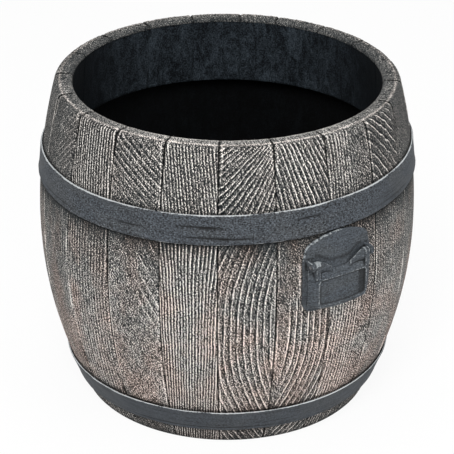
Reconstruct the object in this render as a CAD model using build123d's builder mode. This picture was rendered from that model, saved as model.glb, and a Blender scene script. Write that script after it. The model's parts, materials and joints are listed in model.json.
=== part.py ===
"""A coopered barrel planter: twenty staves, two riveted hoops, a dowelled head and two drop handles.

Millimetres. +Z is up, the origin is the middle of the base, and +X points out through one handle.
"""

import os
from math import asin, cos, degrees, hypot, radians, sin, sqrt, tan

from build123d import *

os.makedirs("parts", exist_ok=True)

# The barrel's outer shape: two arcs that meet upright at the belly.
height = 383.0
rim_radius = 196.0
belly_swell = 22.5  # by which the belly stands out past the rim
belly_height = 215.0
base_inset = 49.0  # by which the foot lies inside the belly

# The staves.
stave_count = 20
first_seam = -36.2  # degrees from +X
seam_wander = 2.0  # degrees by which the seams leave an even spacing
wander_turns = 1.5  # waves of that wander round the barrel
wall = 15.0
lip_width = 20.5
shoulder_step = 7.0  # by which the mouth widens on its way down to the shoulder
shoulder_depth = 84.0
lip_round_outside = 6.0
lip_round_inside = 4.0
base_round = 2.0
seam_chamfer = 1.3
chime_wall = 12.0  # wall at the foot, where the inside is bevelled

# The head, the barrel's floor.
head_underside = 28.0
head_thickness = 15.0
head_board_count = 5
croze_width = 7.0
croze_depth = 5.0
head_clearance = 0.3
head_rabbet_gap = 1.0  # between the stave and the step under the head's edge
head_bevel = 4.0
dowel_radius = 4.0
dowel_length = 30.0
dowel_spread = 140.0
dowel_clearance = 0.1
drain_radius = 8.0
drain_boards = (1, 2, 3)  # the boards, counted from -Y, that have a drain hole

# The hoops. Each was driven on slightly out of level, and its ends are lapped and riveted.
hoop_clearance = 0.15
hoop_thickness = 2.6
upper_hoop_middle = 294.2
upper_hoop_width = 34.0
upper_hoop_lean = 1.1
lower_hoop_middle = 36.2
lower_hoop_width = 30.5
lower_hoop_lean = 0.7
lean_heading = 56.4  # degrees from +X, the side on which a hoop stands highest
lap_heading = 150.0
lap_length = 46.0
hoop_rivet_spacing = 22.0
hoop_rivet_radius = 3.0
hoop_rivet_head_radius = 5.5
hoop_rivet_head_height = 2.4
rivet_clearance = 0.05

# The drop handles, one at each end of the X axis. Widths are halved: they count from a handle's middle.
handle_turns = {"right": 0.0, "left": 180.0}
plate_half = 45.0
plate_bottom = 187.5
plate_waist = 250.0  # height above which a plate's sides lean in
plate_arch_half = 41.0
plate_shoulder = 267.0  # height at which a plate's sides would meet its arch, before rounding
plate_hoop_gap = 0.6  # between the top of a plate's arch and the hoop over it
plate_shoulder_round = 12.0
plate_corner = 13.0
plate_clearance = 0.15
plate_thickness = 2.8

bail_gap = 0.6  # between the plate and a hanging bail
bail_thickness = 7.5
bail_back_half = 41.0
bail_back_bottom = 188.0
bail_back_top = 246.4
bail_front_half = 32.5
bail_front_bottom = 192.5
bail_front_top = 230.0
bail_bow = 3.5  # by which the bottom edge sags in the middle
bail_back_corner = 9.0
bail_front_corner = 5.0
panel_half = 30.2
panel_bottom = 200.0
panel_top = 228.4
panel_corner = 3.0
panel_recess = 1.5

hinge_height = 247.0
knuckle_radius = 4.8
knuckle_inner = 30.0
knuckle_length = 5.8
knuckle_gap = 0.4
lug_length = 5.2
lug_radius = 5.5
lug_clearance = 0.6
ear_edge_round = 1.0
arm_drop = 16.0
pin_radius = 2.0
pin_seat_clearance = 0.05
pin_running_clearance = 0.1

# The bolts that hold a handle plate to two staves.
bolt_radius = 3.0
bolt_hole_clearance = 0.2
bolt_seat_clearance = 0.05
bolt_spacing = 48.0
bolt_height = 212.0
bolt_head_radius = 5.8
bolt_head_land = 0.3
bolt_head_sink = 0.1
bolt_tail = 2.0
washer_radius = 9.0
washer_thickness = 1.6
washer_gap = 0.3
nut_across_flats = 10.0
nut_height = 5.0
nut_clearance = 0.05


def bend_radius(rise, inset):
    """The radius of an arc that starts upright and has moved in by inset after rise."""
    return (rise**2 + inset**2) / (2 * inset)


belly_radius = rim_radius + belly_swell
base_radius = belly_radius - base_inset
mouth_radius = rim_radius - lip_width
shoulder_radius = mouth_radius + shoulder_step
shoulder_height = height - shoulder_depth
upper_bend = bend_radius(height - belly_height, belly_radius - rim_radius)
lower_bend = bend_radius(belly_height, belly_radius - base_radius)


def bend_at(z):
    """The radius of the barrel's arc at height z."""
    return upper_bend if z > belly_height else lower_bend


def wall_radius(z, offset=0.0):
    """The distance from the barrel's axis, at height z, of its outer surface moved out by offset."""
    bend = bend_at(z)
    return belly_radius - bend + sqrt((bend + offset) ** 2 - (z - belly_height) ** 2)


def wall_curve(z_from, z_to, offset=0.0):
    """Adds the barrel's outer curve, moved out by offset, to the BuildLine that is open."""
    stops = [z_from, z_to]
    if min(stops) < belly_height < max(stops):
        stops.insert(1, belly_height)
    for start, end in zip(stops, stops[1:]):
        ThreePointArc(*[(wall_radius(z, offset), z) for z in (start, (start + end) / 2, end)])


def radial_plane(angle):
    """The upright plane through the barrel's axis at an angle from +X, with its x outwards."""
    turn = radians(angle)
    return Plane(origin=(0, 0, 0), x_dir=(cos(turn), sin(turn), 0), z_dir=(sin(turn), -cos(turn), 0))


def surface_plane(angle, z, offset=0.0):
    """The plane that touches the outer surface moved out by offset, with its z pointing out."""
    turn = radians(angle)
    tilt = asin((z - belly_height) / bend_at(z))
    reach = wall_radius(z) + offset * cos(tilt)
    return Plane(
        origin=(reach * cos(turn), reach * sin(turn), z + offset * sin(tilt)),
        x_dir=(-sin(turn), cos(turn), 0),
        z_dir=(cos(turn) * cos(tilt), sin(turn) * cos(tilt), sin(tilt)),
    )


def write(part, name):
    """Labels a finished piece and writes it as one STEP file."""
    part.label = name
    export_step(part, f"parts/{name}.step")


# ---------------------------------------------------------------- staves

croze_top = head_underside + head_thickness + head_clearance
croze_bottom = head_underside + head_thickness - croze_width - head_clearance
croze_radius = wall_radius(croze_top, -wall) + croze_depth
bolt_angle = degrees(asin(bolt_spacing / 2 / belly_radius))
bolt_angles = [turn + side * bolt_angle for turn in handle_turns.values() for side in (-1, 1)]


def seam_angle(index):
    """The angle of a seam between two staves, in degrees from +X."""
    even = index * 360 / stave_count
    turn = (even + 180) % 360 - 180
    return first_seam + even - seam_wander * sin(radians(turn * wander_turns))


def holds_angle(start, end, angle):
    """Whether the arc from start to end, in degrees, takes in an angle."""
    return (angle - start) % 360 < end - start


def make_stave(start, end):
    """One stave, from seam to seam, with its croze, its shoulder and any bolt hole that falls on it."""
    with BuildPart() as stave:
        with BuildSketch(radial_plane(start)) as section:
            with BuildLine():
                wall_curve(0, height)
                Polyline(
                    (rim_radius, height),
                    (mouth_radius, height),
                    (shoulder_radius, shoulder_height),
                    (wall_radius(shoulder_height, -wall), shoulder_height),
                )
                wall_curve(shoulder_height, croze_top, -wall)
                Polyline(
                    (wall_radius(croze_top, -wall), croze_top),
                    (croze_radius, croze_top),
                    (croze_radius, croze_bottom),
                    (wall_radius(croze_bottom, -wall), croze_bottom),
                    (base_radius - chime_wall, 0),
                    (base_radius, 0),
                )
            make_face()
            corners = section.vertices()
            rim_corners = corners.group_by(Axis.Y)[-1].sort_by(Axis.X)
            fillet(rim_corners[-1], lip_round_outside)
            fillet(section.vertices().sort_by_distance((mouth_radius, height))[0], lip_round_inside)
            fillet(section.vertices().sort_by_distance((base_radius, 0))[0], base_round)
        revolve(axis=Axis.Z, revolution_arc=end - start)
        sides = [face for face in stave.faces().filter_by(GeomType.PLANE) if not round(face.normal_at().Z, 2)]
        outer_edges = [
            edge
            for face in sides
            for edge in face.edges()
            if edge.center().Z > height - lip_round_outside
            or hypot(edge.center().X, edge.center().Y) > wall_radius(edge.center().Z) - wall / 2
            and edge.center().Z > base_round
        ]
        chamfer(outer_edges, seam_chamfer)
        for angle in bolt_angles:
            if holds_angle(start, end, angle):
                with BuildSketch(surface_plane(angle, bolt_height, wall)):
                    Circle(bolt_radius + bolt_hole_clearance)
                extrude(amount=-3 * wall, mode=Mode.SUBTRACT)
    return stave.part


for index in range(stave_count):
    write(make_stave(seam_angle(index), seam_angle(index + 1)), f"stave_{index + 1:02d}")


# ---------------------------------------------------------------- head

head_radius = croze_radius - head_clearance
head_top = head_underside + head_thickness
rabbet_radius = wall_radius(croze_bottom, -wall) - head_rabbet_gap
board_width = 2 * head_radius / head_board_count
dowel_height = head_underside + head_thickness / 2


def board_middle(index):
    """The Y of the middle of a head board, counted from -Y."""
    return (index - (head_board_count - 1) / 2) * board_width


dowel_seats = [
    (side * dowel_spread / 2, board_middle(index) + board_width / 2)
    for index in range(head_board_count - 1)
    for side in (-1, 1)
]


def make_head_board(index):
    """One board of the round head: its edge is cut away underneath to a tongue that fits the croze."""
    middle = board_middle(index)
    with BuildPart() as board:
        with BuildSketch(Plane.XZ):
            with BuildLine():
                Polyline(
                    (0, head_underside),
                    (rabbet_radius - head_bevel, head_underside),
                    (rabbet_radius, head_top - croze_width),
                    (head_radius, head_top - croze_width),
                    (head_radius, head_top),
                    (0, head_top),
                    close=True,
                )
            make_face()
        revolve(axis=Axis.Z)
        with BuildSketch(Plane.XY):
            with Locations((0, middle)):
                Rectangle(2 * head_radius, board_width)
        extrude(amount=height, mode=Mode.INTERSECT)
        for x, y in dowel_seats:
            if abs(abs(y - middle) - board_width / 2) < dowel_clearance:
                inwards = 1 if y < middle else -1
                with BuildSketch(Plane(origin=(x, y, dowel_height), x_dir=(1, 0, 0), z_dir=(0, inwards, 0))):
                    Circle(dowel_radius + dowel_clearance)
                extrude(amount=dowel_length / 2 + dowel_clearance, mode=Mode.SUBTRACT)
        if index in drain_boards:
            with Locations((0, middle, head_top)):
                Hole(drain_radius)
    return board.part


for index in range(head_board_count):
    write(make_head_board(index), f"head_board_{index + 1}")

with BuildPart() as dowels:
    for x, y in dowel_seats:
        with BuildSketch(Plane(origin=(x, y, dowel_height), z_dir=(0, 1, 0))):
            Circle(dowel_radius)
        extrude(amount=dowel_length / 2, both=True)
write(dowels.part, "head_dowels")


# ---------------------------------------------------------------- hoops

lap_offset = hoop_clearance + hoop_thickness


def lean_plane(z, lean):
    """A level plane at height z, tipped up by lean degrees towards the lean heading."""
    heading, tip = radians(lean_heading), radians(lean)
    return Plane(origin=(0, 0, z), z_dir=(-cos(heading) * sin(tip), -sin(heading) * sin(tip), cos(tip)))


def band(start_angle, sweep, low, high, inner, outer):
    """A strip that follows the barrel between two heights and two offsets from its surface."""
    with BuildPart() as strip:
        with BuildSketch(radial_plane(start_angle)):
            with BuildLine():
                wall_curve(low, high, outer)
                Line((wall_radius(high, outer), high), (wall_radius(high, inner), high))
                wall_curve(high, low, inner)
                Line((wall_radius(low, inner), low), (wall_radius(low, outer), low))
            make_face()
        revolve(axis=Axis.Z, revolution_arc=sweep)
    return strip.part


def hoop_height(middle, lean, angle):
    """The height of a hoop's middle line at an angle, which its lean moves up or down."""
    return middle + tan(radians(lean)) * wall_radius(middle) * cos(radians(angle - lean_heading))


def rivet_angles(middle):
    """The two angles at which the rivets go through a hoop's lap."""
    step = degrees(hoop_rivet_spacing / 2 / wall_radius(middle))
    return [lap_heading - step, lap_heading + step]


def make_hoop(middle, width, lean):
    """A hoop: a strip round the staves, one thickness proud where its end laps over."""
    spare = wall_radius(middle) * tan(radians(lean)) + 1
    low, high = middle - width / 2 - spare, middle + width / 2 + spare
    lap_sweep = degrees(lap_length / wall_radius(middle))
    with BuildPart() as hoop:
        add(band(0, 360, low, high, hoop_clearance, lap_offset))
        add(band(lap_heading - lap_sweep / 2, lap_sweep, low, high, lap_offset, lap_offset + hoop_thickness))
        split(bisect_by=lean_plane(middle + width / 2, lean), keep=Keep.BOTTOM)
        split(bisect_by=lean_plane(middle - width / 2, lean), keep=Keep.TOP)
        for angle in rivet_angles(middle):
            with BuildSketch(surface_plane(angle, hoop_height(middle, lean, angle), 3 * hoop_thickness)):
                Circle(hoop_rivet_radius + rivet_clearance)
            extrude(amount=-4 * hoop_thickness, mode=Mode.SUBTRACT)
    return hoop.part


def make_hoop_rivets(middle, lean):
    """The two rivets of a hoop's lap: a shank through both layers and a domed head outside."""
    grip = 2 * hoop_thickness
    dome = bend_radius(hoop_rivet_head_radius, hoop_rivet_head_height)
    with BuildPart() as rivets:
        for angle in rivet_angles(middle):
            seat = surface_plane(angle, hoop_height(middle, lean, angle), hoop_clearance + rivet_clearance)
            with BuildSketch(seat):
                Circle(hoop_rivet_radius)
            extrude(amount=grip)
            crown = seat.offset(grip)
            with BuildSketch(Plane(origin=crown.origin, x_dir=crown.x_dir, z_dir=-crown.y_dir)):
                with BuildLine():
                    Line((0, 0), (hoop_rivet_head_radius, 0))
                    RadiusArc((hoop_rivet_head_radius, 0), (0, hoop_rivet_head_height), -dome)
                    Line((0, hoop_rivet_head_height), (0, 0))
                make_face()
            revolve(axis=Axis(crown.origin, crown.z_dir))
    return rivets.part


for name, middle, width, lean in (
    ("upper_hoop", upper_hoop_middle, upper_hoop_width, upper_hoop_lean),
    ("lower_hoop", lower_hoop_middle, lower_hoop_width, lower_hoop_lean),
):
    write(make_hoop(middle, width, lean), name)
    write(make_hoop_rivets(middle, lean), f"{name}_rivets")


# ---------------------------------------------------------------- handles

plate_outer = plate_clearance + plate_thickness
bail_front = belly_radius + plate_outer + bail_gap + bail_thickness
bail_back = sqrt((belly_radius + plate_outer + bail_gap) ** 2 - bail_back_half**2) - 0.5
arm_foot_reach = wall_radius(hinge_height - arm_drop) + plate_outer
hinge_reach = sqrt(arm_foot_reach**2 - knuckle_inner**2) + bail_gap + knuckle_radius
lug_inner = knuckle_inner + knuckle_length + knuckle_gap
lug_outer = lug_inner + lug_length
bolt_inner_end = wall + washer_gap + washer_thickness + nut_height + bolt_tail
bolt_top = plate_outer - bolt_head_sink


def face_plane(turn, reach):
    """The upright plane across a handle at a distance from the barrel's axis, with its x sideways."""
    angle = radians(turn)
    return Plane(
        origin=(reach * cos(angle), reach * sin(angle), 0),
        x_dir=(-sin(angle), cos(angle), 0),
        z_dir=(cos(angle), sin(angle), 0),
    )


def side_plane(turn, sideways):
    """The upright plane across a handle's hinge axis, with its origin on the axis and its x outwards."""
    angle = radians(turn)
    return Plane(
        origin=(
            hinge_reach * cos(angle) - sideways * sin(angle),
            hinge_reach * sin(angle) + sideways * cos(angle),
            hinge_height,
        ),
        x_dir=(cos(angle), sin(angle), 0),
        z_dir=(sin(angle), -cos(angle), 0),
    )


def inside_of(offset):
    """All that lies within the barrel's outer surface moved out by offset."""
    with BuildPart() as core:
        with BuildSketch(radial_plane(90)):
            with BuildLine():
                wall_curve(0, height, offset)
                Polyline(
                    (wall_radius(height, offset), height),
                    (0, height),
                    (0, 0),
                    (wall_radius(0, offset), 0),
                )
            make_face()
        revolve(axis=Axis.Z)
    return core.part


def bolt_shape(angle, grow=0.0):
    """A countersunk bolt through the wall at an angle, or the hole for it if grown by a clearance."""
    seat = surface_plane(angle, bolt_height, bolt_top)
    length = bolt_top + bolt_inner_end
    above = plate_thickness if grow else 0
    with BuildPart() as bolt:
        with BuildSketch(Plane(origin=seat.origin, x_dir=seat.x_dir, z_dir=-seat.y_dir)):
            with BuildLine():
                Polyline(
                    (0, above),
                    (bolt_head_radius + grow, above),
                    (bolt_head_radius + grow, -bolt_head_land),
                    (bolt_radius + grow, -bolt_head_land - bolt_head_radius + bolt_radius),
                    (bolt_radius + grow, -length),
                    (0, -length),
                    close=True,
                )
            make_face()
        revolve(axis=Axis(seat.origin, seat.z_dir))
    return bolt.part


def make_plate(turn):
    """A handle's back plate, arched up to the hoop, with a lug at each end of the hinge."""
    hoop_edge = hoop_height(upper_hoop_middle, upper_hoop_lean, turn) - upper_hoop_width / 2
    plate_top = hoop_edge - plate_hoop_gap
    with BuildPart() as plate:
        for side in (-1, 1):
            start = side_plane(turn, side * (lug_inner + lug_length / 2))
            with BuildSketch(start):
                Circle(lug_radius)
                with Locations((-lug_radius, 0)):
                    Rectangle(2 * lug_radius, 2 * lug_radius)
            extrude(amount=lug_length / 2, both=True)
        fillet(plate.edges().filter_by(GeomType.CIRCLE), ear_edge_round)
        with BuildPart(mode=Mode.PRIVATE) as blank:
            with BuildSketch(face_plane(turn, rim_radius)) as outline:
                with BuildLine():
                    Polyline(
                        (-plate_arch_half, plate_shoulder),
                        (-plate_half, plate_waist),
                        (-plate_half, plate_bottom),
                        (plate_half, plate_bottom),
                        (plate_half, plate_waist),
                        (plate_arch_half, plate_shoulder),
                    )
                    ThreePointArc(
                        (plate_arch_half, plate_shoulder), (0, plate_top), (-plate_arch_half, plate_shoulder)
                    )
                make_face()
                fillet(outline.vertices().sort_by(Axis.Y)[-2:], plate_shoulder_round)
                fillet(outline.vertices().sort_by(Axis.Y)[:2], plate_corner)
            extrude(amount=belly_radius)
            add(inside_of(plate_outer), mode=Mode.INTERSECT)
        add(blank.part)
        add(inside_of(plate_clearance), mode=Mode.SUBTRACT)
        for side in (-1, 1):
            with BuildSketch(side_plane(turn, side * lug_outer)):
                Circle(pin_radius + pin_seat_clearance)
            extrude(amount=side * lug_length, mode=Mode.SUBTRACT)
            add(bolt_shape(turn + side * bolt_angle, bolt_seat_clearance), mode=Mode.SUBTRACT)
    return plate.part


def make_bail(turn):
    """A hanging bail: a bevelled block with a sunk panel, and an arm up to a knuckle at each end."""
    with BuildPart() as bail:
        for reach, half, bottom, top, corner in (
            (bail_back, bail_back_half, bail_back_bottom, bail_back_top, bail_back_corner),
            (bail_front, bail_front_half, bail_front_bottom, bail_front_top, bail_front_corner),
        ):
            with BuildSketch(face_plane(turn, reach)) as outline:
                with BuildLine():
                    Polyline((half, bottom + bail_bow), (half, top), (-half, top), (-half, bottom + bail_bow))
                    ThreePointArc((-half, bottom + bail_bow), (0, bottom), (half, bottom + bail_bow))
                make_face()
                fillet(outline.vertices(), corner)
        loft(ruled=True)
        add(inside_of(plate_outer + bail_gap), mode=Mode.SUBTRACT)
        for side in (-1, 1):
            with BuildSketch(side_plane(turn, side * (lug_inner - knuckle_gap))):
                Circle(lug_radius + lug_clearance)
                with Locations((-lug_radius, 0)):
                    Rectangle(2 * lug_radius, 2 * (lug_radius + lug_clearance))
            extrude(amount=-side * lug_length * 2, mode=Mode.SUBTRACT)
            with BuildSketch(side_plane(turn, side * (knuckle_inner + knuckle_length / 2))):
                Circle(knuckle_radius)
                with BuildLine():
                    Polyline(
                        (-knuckle_radius, 0),
                        (knuckle_radius, 0),
                        (bail_front - hinge_reach, -arm_drop),
                        (-knuckle_radius, -arm_drop),
                        close=True,
                    )
                make_face()
            extrude(amount=knuckle_length / 2, both=True)
            with BuildSketch(side_plane(turn, side * knuckle_inner)):
                Circle(pin_radius + pin_running_clearance)
            extrude(amount=-side * knuckle_length, mode=Mode.SUBTRACT)
        with BuildSketch(face_plane(turn, bail_front)) as outline:
            with BuildLine():
                Polyline(
                    (-panel_half, panel_bottom),
                    (-panel_half, panel_top),
                    (panel_half, panel_top),
                    (panel_half, panel_bottom),
                )
                ThreePointArc(
                    (panel_half, panel_bottom), (0, panel_bottom - bail_bow), (-panel_half, panel_bottom)
                )
            make_face()
            fillet(outline.vertices(), panel_corner)
        extrude(amount=-panel_recess, mode=Mode.SUBTRACT)
    return bail.part


for name, turn in handle_turns.items():
    write(make_plate(turn), f"handle_plate_{name}")
    write(make_bail(turn), f"handle_bail_{name}")

with BuildPart() as pins:
    for turn in handle_turns.values():
        for side in (-1, 1):
            with BuildSketch(side_plane(turn, side * knuckle_inner)):
                Circle(pin_radius)
            extrude(amount=-side * (lug_outer - knuckle_inner))
write(pins.part, "handle_pins")

with BuildPart() as bolts:
    for angle in bolt_angles:
        add(bolt_shape(angle))
write(bolts.part, "handle_bolts")

with BuildPart() as washers:
    for angle in bolt_angles:
        with BuildSketch(surface_plane(angle, bolt_height, -wall - washer_gap)):
            Circle(washer_radius)
            Circle(bolt_radius + bolt_hole_clearance, mode=Mode.SUBTRACT)
        extrude(amount=-washer_thickness)
write(washers.part, "handle_washers")

with BuildPart() as nuts:
    for angle in bolt_angles:
        with BuildSketch(surface_plane(angle, bolt_height, -wall - washer_gap - washer_thickness)):
            RegularPolygon(nut_across_flats / 2, side_count=6, major_radius=False)
            Circle(bolt_radius + nut_clearance, mode=Mode.SUBTRACT)
        extrude(amount=-nut_height)
write(nuts.part, "handle_nuts")
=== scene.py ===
"""Dresses the barrel planter: grained staves, worn iron hoops and drop handles, on a pale floor.

Sizes are in millimetres, as on the maker's drawing, and become metres where a mesh is made.
"""

import json
import math
from types import SimpleNamespace

import bmesh
import bpy
import numpy as np
from mathutils import Matrix, Vector


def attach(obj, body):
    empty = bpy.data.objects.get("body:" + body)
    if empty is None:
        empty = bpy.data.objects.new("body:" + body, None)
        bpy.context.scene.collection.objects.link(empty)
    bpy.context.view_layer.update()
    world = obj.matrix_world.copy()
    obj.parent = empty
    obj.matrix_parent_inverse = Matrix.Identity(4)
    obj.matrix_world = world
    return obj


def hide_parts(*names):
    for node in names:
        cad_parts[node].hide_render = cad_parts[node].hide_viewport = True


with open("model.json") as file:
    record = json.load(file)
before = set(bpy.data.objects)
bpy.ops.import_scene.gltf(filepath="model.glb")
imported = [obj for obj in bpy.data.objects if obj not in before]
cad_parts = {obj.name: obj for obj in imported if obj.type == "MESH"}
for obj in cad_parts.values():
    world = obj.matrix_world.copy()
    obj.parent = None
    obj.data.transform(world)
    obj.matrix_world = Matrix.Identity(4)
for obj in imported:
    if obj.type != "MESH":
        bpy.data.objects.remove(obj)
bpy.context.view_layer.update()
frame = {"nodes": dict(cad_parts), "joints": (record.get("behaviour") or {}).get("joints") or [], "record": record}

MM = 0.001

# The barrel, as in its drawing.
HEIGHT = 383.0
RIM_RADIUS = 196.0
BELLY_RADIUS = 218.5
BELLY_HEIGHT = 215.0
BASE_RADIUS = 169.5
WALL = 15.0
LIP_ROUND = 6.0
INNER_LIP_ROUND = 4.0
MOUTH_RADIUS = 175.5
SHOULDER_RADIUS = 182.5
SHOULDER_HEIGHT = 299.0
CROZE_TOP = 43.3
CROZE_BOTTOM = 35.7
CROZE_DEPTH = 5.0
FOOT_INNER_RADIUS = 157.5
STAVES = 20
FIRST_SEAM = -36.2
SEAM_WANDER = 2.0
WANDER_TURNS = 1.5
VIEW_HEADING = -33.6  # degrees from +X of the barrel's front, the side that the camera looks at
# The heading from which light is painted onto the rim and into the mouth.
PAINTED_LIGHT_HEADING = math.radians(VIEW_HEADING)

# The hoops: middle height, width, lean in degrees.
HOOPS = {"upper": (294.2, 34.0, 1.1), "lower": (36.2, 30.5, 0.7)}
HOOP_CLEARANCE = 0.15
HOOP_THICKNESS = 2.6
LEAN_HEADING = 56.4
LAP_HEADING = 150.0
LAP_LENGTH = 46.0


def bend_radius(rise, inset):
    return (rise**2 + inset**2) / (2 * inset)


UPPER_BEND = bend_radius(HEIGHT - BELLY_HEIGHT, BELLY_RADIUS - RIM_RADIUS)
LOWER_BEND = bend_radius(BELLY_HEIGHT, BELLY_RADIUS - BASE_RADIUS)


def wall_radius(z, offset=0.0):
    """The radius of the barrel's outer surface at height z, moved out by offset."""
    z = np.asarray(z, float)
    bend = np.where(z > BELLY_HEIGHT, UPPER_BEND, LOWER_BEND)
    return BELLY_RADIUS - bend + np.sqrt((bend + offset) ** 2 - (z - BELLY_HEIGHT) ** 2)


def seam_angle(index):
    """The angle of a seam between two staves, in degrees from +X."""
    even = index * 360 / STAVES
    turn = (even + 180) % 360 - 180
    return FIRST_SEAM + even - SEAM_WANDER * math.sin(math.radians(turn * WANDER_TURNS))


# ---------------------------------------------------------------- noise

# Large odd factors that stir a column, a row and a seed together, and masks of the lower 32 and 16 bits.
STIR_COLUMN, STIR_ROW, STIR_SEED, STIR_AGAIN = 374761393, 668265263, 974634777, 1274126177
LOW_32, LOW_16 = 0xFFFFFFFF, 0xFFFF


def lattice(column, row, seed):
    """Repeatable values from -1 to 1 on whole-number points."""
    mix = column.astype(np.int64) * STIR_COLUMN + row.astype(np.int64) * STIR_ROW + seed * STIR_SEED
    mix = mix & LOW_32
    mix = ((mix ^ (mix >> 13)) * STIR_AGAIN) & LOW_32
    return ((mix ^ (mix >> 16)) & LOW_16) * 2 / LOW_16 - 1


def noise(x, y, seed):
    """Smooth noise from -1 to 1 that changes over about one unit."""
    column, row = np.floor(x), np.floor(y)
    u, v = x - column, y - row
    u, v = u * u * (3 - 2 * u), v * v * (3 - 2 * v)
    low = lattice(column, row, seed) * (1 - u) + lattice(column + 1, row, seed) * u
    high = lattice(column, row + 1, seed) * (1 - u) + lattice(column + 1, row + 1, seed) * u
    return low * (1 - v) + high * v


def layered(x, y, seed, layers=3):
    """Noise with finer noise added to it."""
    return sum(noise(x * 2**i, y * 2**i, seed + 7 * i) * 0.55**i for i in range(layers))


def smoothstep(low, high, value):
    t = np.clip((value - low) / (high - low), 0, 1)
    return t * t * (3 - 2 * t)


# ---------------------------------------------------------------- meshes


def make_piece(name, points, faces, values, material, body, replaced, uv):
    """A mesh piece from points in millimetres, with a number per point for each named value."""
    mesh = bpy.data.meshes.new(name)
    mesh.from_pydata((np.asarray(points) * MM).tolist(), [], faces)
    mesh.polygons.foreach_set("use_smooth", np.ones(len(mesh.polygons), bool))
    return finish_piece(name, mesh, values, material, body, replaced, uv)


def finish_piece(name, mesh, values, material, body, replaced, uv=None):
    """Adds the values and the material to a mesh, sets it under its body, hides the drawn parts that it replaces,
    and returns its object.
    """
    for key, numbers in values.items():
        layer = mesh.attributes.new(key, "FLOAT", "POINT")
        layer.data.foreach_set("value", np.asarray(numbers, np.float32).ravel())
    if uv is not None:
        corners = np.empty(len(mesh.loops), np.int32)
        mesh.loops.foreach_get("vertex_index", corners)
        mesh.uv_layers.new(name="flat").data.foreach_set("uv", np.asarray(uv, np.float32)[corners].ravel())
    mesh.materials.clear()
    mesh.materials.append(material)
    mesh.update()
    piece = placed(name, mesh)
    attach(piece, body)
    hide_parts(*replaced)
    return piece


def placed(name, data):
    """A new object in the scene."""
    thing = bpy.data.objects.new(name, data)
    bpy.context.scene.collection.objects.link(thing)
    return thing


def settled_mesh(holder, name):
    """The plain mesh that an object's modifiers make. The object is removed."""
    bpy.context.view_layer.update()
    plain = bpy.data.meshes.new_from_object(holder.evaluated_get(bpy.context.evaluated_depsgraph_get()))
    bpy.data.objects.remove(holder)
    plain.name = name
    return plain


def ring_faces(rows, columns):
    """Quads over a grid of points stored row by row, whose last row joins its first."""
    a, b = np.meshgrid(np.arange(rows), np.arange(columns - 1), indexing="ij")
    after = (a + 1) % rows
    corners = [a * columns + b, a * columns + b + 1, after * columns + b + 1, after * columns + b]
    return np.stack(corners, -1).reshape(-1, 4)


# ---------------------------------------------------------------- materials


class Value:
    """A number in a node tree, on which arithmetic adds Math nodes."""

    def __init__(self, nodes, socket):
        self.nodes = nodes
        self.socket = socket

    def math(self, operation, *others, clamp=False):
        made = self.nodes.node(
            "ShaderNodeMath", {"operation": operation, "use_clamp": clamp}, dict(enumerate((self, *others)))
        )
        return Value(self.nodes, made.outputs[0])

    def __add__(self, other):
        return self.math("ADD", other)

    __radd__ = __add__

    def __sub__(self, other):
        return self.math("SUBTRACT", other)

    def __rsub__(self, other):
        return (self * -1).math("ADD", other)

    def __mul__(self, other):
        return self.math("MULTIPLY", other)

    __rmul__ = __mul__

    def __truediv__(self, other):
        return self.math("DIVIDE", other)

    def __pow__(self, other):
        return self.math("POWER", other)

    def clamp(self):
        return self.math("ADD", 0.0, clamp=True)

    def step(self, low, high):
        """0 below low, 1 above high, and smooth between."""
        made = self.nodes.node(
            "ShaderNodeMapRange",
            {"interpolation_type": "SMOOTHSTEP"},
            {"Value": self, "From Min": low, "From Max": high},
        )
        return Value(self.nodes, made.outputs["Result"])


class Nodes:
    """A node tree of any kind: a material's, the world's or a geometry tree."""

    def __init__(self, tree):
        self.tree = tree

    def node(self, kind, settings, sockets):
        """A node of a type, with its settings and then the values or links of its sockets."""
        made = self.tree.nodes.new(kind)
        for key, setting in settings.items():
            setattr(made, key, setting)
        self.feed(made, sockets)
        return made

    def feed(self, made, sockets):
        for key, value in sockets.items():
            if isinstance(value, Value):
                value = value.socket
            if isinstance(value, bpy.types.NodeSocket):
                self.tree.links.new(value, made.inputs[key])
            else:
                made.inputs[key].default_value = value

    def white_for_view(self, light):
        """1 for the camera, for reflections and through glass, and another number for the light itself."""
        path = self.node("ShaderNodeLightPath", {}, {})
        seen = Value(self, path.outputs["Is Camera Ray"])
        for name in ("Is Glossy Ray", "Is Transmission Ray"):
            seen = seen.math("MAXIMUM", path.outputs[name])
        return light + seen * (1 - light)


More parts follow.
